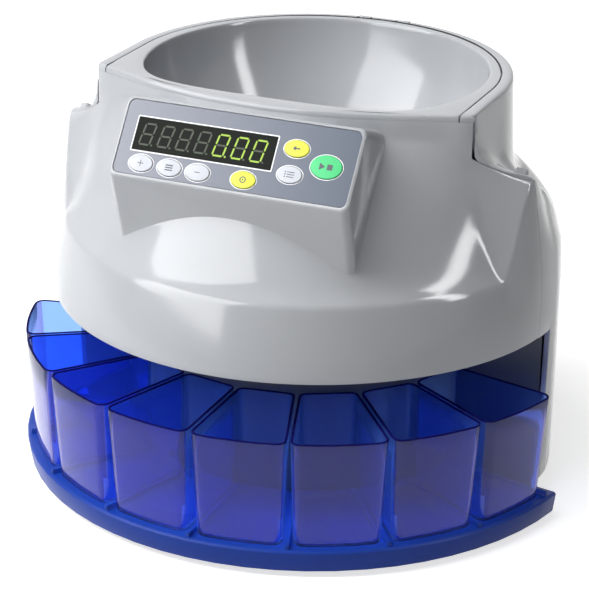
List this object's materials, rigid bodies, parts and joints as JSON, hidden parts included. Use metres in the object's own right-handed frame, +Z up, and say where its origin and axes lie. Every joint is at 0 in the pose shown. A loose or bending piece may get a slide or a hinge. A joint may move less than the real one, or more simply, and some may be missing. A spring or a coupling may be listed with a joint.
{
  "type": "coin sorting machine",
  "caption": "Counter-top coin sorter with a round hopper bowl, a sloping key panel with a display, and removable wedge cups set in an arc on a round tray.",
  "frame": {"origin": "centre of the bounding box in plan, at the counter under the rubber feet", "axes": "+Z up, -Y towards the front with the panel and cups, +X to the right seen from the front"},
  "size_m": [0.349, 0.3294, 0.25],
  "materials": {
    "casing": "glossy light grey moulded plastic",
    "tray": "satin blue moulded plastic",
    "cup": "clear cobalt blue moulded plastic",
    "dark_plastic": "matt dark slate plastic",
    "dark_steel": "dark grey paint",
    "overlay": "satin slate-blue membrane",
    "window": "smoked clear display window",
    "display": "dark display module",
    "key_white": "satin white",
    "key_yellow": "satin yellow",
    "key_green": "satin green",
    "rubber": "black rubber",
    "deck": "brushed sheet",
    "steel": "plain machined metal",
    "board": "green circuit board"
  },
  "bodies": {
    "machine": {"base_tray": "tray", "bearing_lower": "steel", "bearing_upper": "steel", "bottom_plate": "dark_steel", "coin_sensor": "dark_plastic", "core_drum": "dark_plastic", "data_port": "steel", "display_module": "display", "display_window": "window", "drive_belt": "rubber", "drive_motor": "steel", "foot_1": "rubber", "foot_2": "rubber", "foot_3": "rubber", "foot_4": "rubber", "front_cover": "casing", "guide_rail": "steel", "hinge_pin": "steel", "key_board": "board", "main_board": "board", "motor_bracket": "steel", "panel_overlay": "overlay", "power_inlet": "dark_plastic", "power_supply": "steel", "rear_housing": "casing", "sorting_deck": "deck", "switch_frame": "dark_plastic"},
    "cup_1": {"coin_cup_1": "cup"},
    "cup_2": {"coin_cup_2": "cup"},
    "cup_3": {"coin_cup_3": "cup"},
    "cup_4": {"coin_cup_4": "cup"},
    "cup_5": {"coin_cup_5": "cup"},
    "cup_6": {"coin_cup_6": "cup"},
    "cup_7": {"coin_cup_7": "cup"},
    "cup_8": {"coin_cup_8": "cup"},
    "key_plus_body": {"key_plus": "key_white"},
    "key_stack_body": {"key_stack": "key_white"},
    "key_minus_body": {"key_minus": "key_white"},
    "key_set_body": {"key_set": "key_yellow"},
    "key_clear_body": {"key_clear": "key_yellow"},
    "key_list_body": {"key_list": "key_white"},
    "key_start_body": {"key_start": "key_green"},
    "hopper_body": {"hopper": "casing"},
    "feed_drive": {"feed_disc": "dark_plastic", "spindle": "steel", "disc_pulley": "dark_plastic"},
    "motor_pulley_body": {"motor_pulley": "steel"},
    "rocker_body": {"switch_rocker": "dark_plastic"}
  },
  "joints": [
    {"name": "cup_1_slide", "type": "slide", "parent": "machine", "child": "cup_1", "axis": [-0.9223, -0.3864, 0], "range_m": [0, 0.07]},
    {"name": "cup_2_slide", "type": "slide", "parent": "machine", "child": "cup_2", "axis": [-0.7437, -0.6685, 0], "range_m": [0, 0.07]},
    {"name": "cup_3_slide", "type": "slide", "parent": "machine", "child": "cup_3", "axis": [-0.4822, -0.8761, 0], "range_m": [0, 0.07]},
    {"name": "cup_4_slide", "type": "slide", "parent": "machine", "child": "cup_4", "axis": [-0.1669, -0.986, 0], "range_m": [0, 0.07]},
    {"name": "cup_5_slide", "type": "slide", "parent": "machine", "child": "cup_5", "axis": [0.1669, -0.986, 0], "range_m": [0, 0.07]},
    {"name": "cup_6_slide", "type": "slide", "parent": "machine", "child": "cup_6", "axis": [0.4822, -0.8761, 0], "range_m": [0, 0.07]},
    {"name": "cup_7_slide", "type": "slide", "parent": "machine", "child": "cup_7", "axis": [0.7437, -0.6685, 0], "range_m": [0, 0.07]},
    {"name": "cup_8_slide", "type": "slide", "parent": "machine", "child": "cup_8", "axis": [0.9223, -0.3864, 0], "range_m": [0, 0.07]},
    {"name": "key_plus_press", "type": "slide", "parent": "machine", "child": "key_plus_body", "axis": [0, 0.8176, -0.5758], "range_m": [0, 0.0005], "stiffness_N_per_m": 1500},
    {"name": "key_stack_press", "type": "slide", "parent": "machine", "child": "key_stack_body", "axis": [0, 0.8176, -0.5758], "range_m": [0, 0.0005], "stiffness_N_per_m": 1500},
    {"name": "key_minus_press", "type": "slide", "parent": "machine", "child": "key_minus_body", "axis": [0, 0.8176, -0.5758], "range_m": [0, 0.0005], "stiffness_N_per_m": 1500},
    {"name": "key_set_press", "type": "slide", "parent": "machine", "child": "key_set_body", "axis": [0, 0.8176, -0.5758], "range_m": [0, 0.0005], "stiffness_N_per_m": 1500},
    {"name": "key_clear_press", "type": "slide", "parent": "machine", "child": "key_clear_body", "axis": [0, 0.8176, -0.5758], "range_m": [0, 0.0005], "stiffness_N_per_m": 1500},
    {"name": "key_list_press", "type": "slide", "parent": "machine", "child": "key_list_body", "axis": [0, 0.8176, -0.5758], "range_m": [0, 0.0005], "stiffness_N_per_m": 1500},
    {"name": "key_start_press", "type": "slide", "parent": "machine", "child": "key_start_body", "axis": [0, 0.8176, -0.5758], "range_m": [0, 0.0005], "stiffness_N_per_m": 1500},
    {"name": "hopper_hinge", "type": "hinge", "parent": "machine", "child": "hopper_body", "pos_m": [0, 0.12735, 0.2474], "axis": [-1, 0, 0], "range_deg": [0, 65]},
    {"name": "feed_disc_turn", "type": "hinge", "parent": "machine", "child": "feed_drive", "pos_m": [0, 0.01275, 0.12], "axis": [0, 0, 1], "continuous": true},
    {"name": "motor_pulley_turn", "type": "hinge", "parent": "machine", "child": "motor_pulley_body", "pos_m": [0, 0.07475, 0.08], "axis": [0, 0, 1], "continuous": true},
    {"name": "switch_rocker_tilt", "type": "hinge", "parent": "machine", "child": "rocker_body", "pos_m": [-0.00255, 0.15903, 0.034], "axis": [-0.9998, -0.0175, 0], "range_deg": [-10, 10]}
  ],
  "couplings": [
    {"joint": "motor_pulley_turn", "follows": "feed_disc_turn", "ratio": 3.619}
  ]
}
